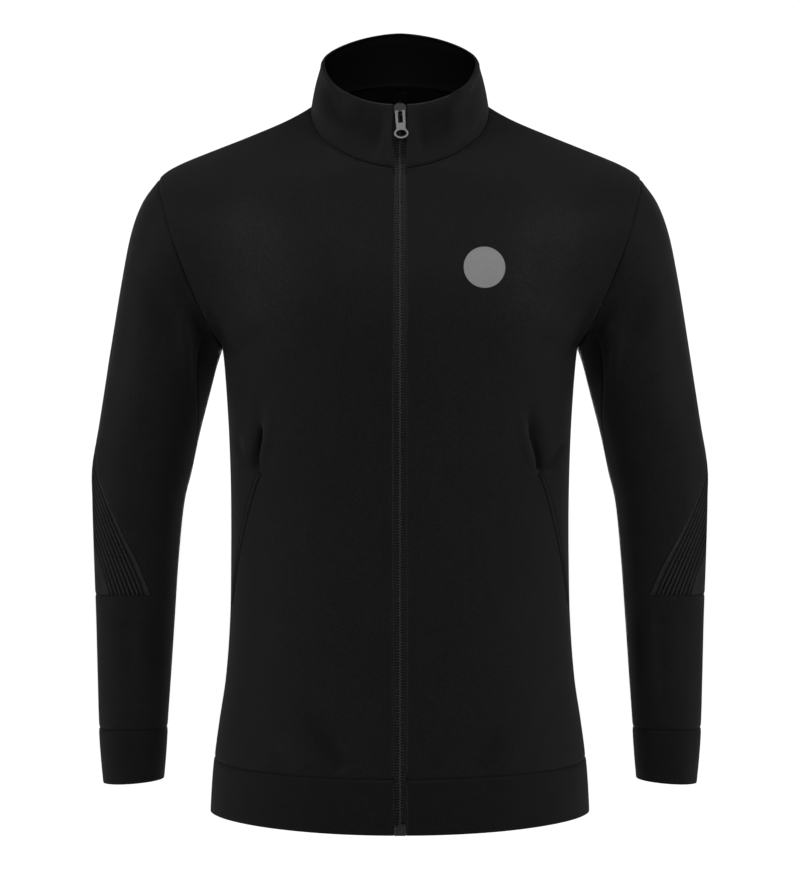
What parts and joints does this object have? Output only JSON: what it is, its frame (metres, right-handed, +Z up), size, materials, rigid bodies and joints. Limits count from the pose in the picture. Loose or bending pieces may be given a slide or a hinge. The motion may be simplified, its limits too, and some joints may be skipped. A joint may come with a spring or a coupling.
{
  "type": "track jacket",
  "caption": "Hollow full-zip knit track jacket with stand collar, set-in sleeves, arched elbow panels, slanted pockets and a hinged zip pull, filled out as worn.",
  "frame": {"origin": "centre of the neck's base, where the wearer's neck and shoulders hold the jacket", "axes": "+X to the wearer's left, -Y to the front, +Z up"},
  "size_m": [0.6158, 0.2435, 0.792],
  "materials": {
    "knit": "matt double knit, black, with a faint fleck",
    "rib_knit": "matt doubled knit, black",
    "elbow_knit": "matt knit with pressed grooves, black",
    "pocket_cloth": "plain knit, black",
    "zip_tape": "woven tape, black",
    "coil": "moulded coil, near black",
    "gunmetal": "gunmetal plating, satin",
    "thread": "dense bar tack stitching, black",
    "print_film": "grey heat-transfer film, matt"
  },
  "bodies": {
    "jacket": {"front_right": "knit", "front_left": "knit", "back": "knit", "sleeve_right": "knit", "sleeve_left": "knit", "elbow_panel_right": "elbow_knit", "elbow_panel_left": "elbow_knit", "cuff_right": "rib_knit", "cuff_left": "rib_knit", "hem_band": "rib_knit", "collar": "knit", "pocket_welt_right": "knit", "pocket_welt_left": "knit", "pocket_bag_right": "pocket_cloth", "pocket_bag_left": "pocket_cloth", "pocket_tack_right": "thread", "pocket_tack_left": "thread", "zip_tape_right": "zip_tape", "zip_tape_left": "zip_tape", "zip_coil": "coil", "zip_slider": "gunmetal", "zip_box": "gunmetal", "chest_print": "print_film"},
    "pull_tab": {"zip_pull": "gunmetal"}
  },
  "joints": [
    {"name": "pull_tab_hinge", "type": "hinge", "parent": "jacket", "child": "pull_tab", "pos_m": [0, -0.07124, -0.00482], "axis": [-1, 0, 0], "range_deg": [0, 150]}
  ]
}
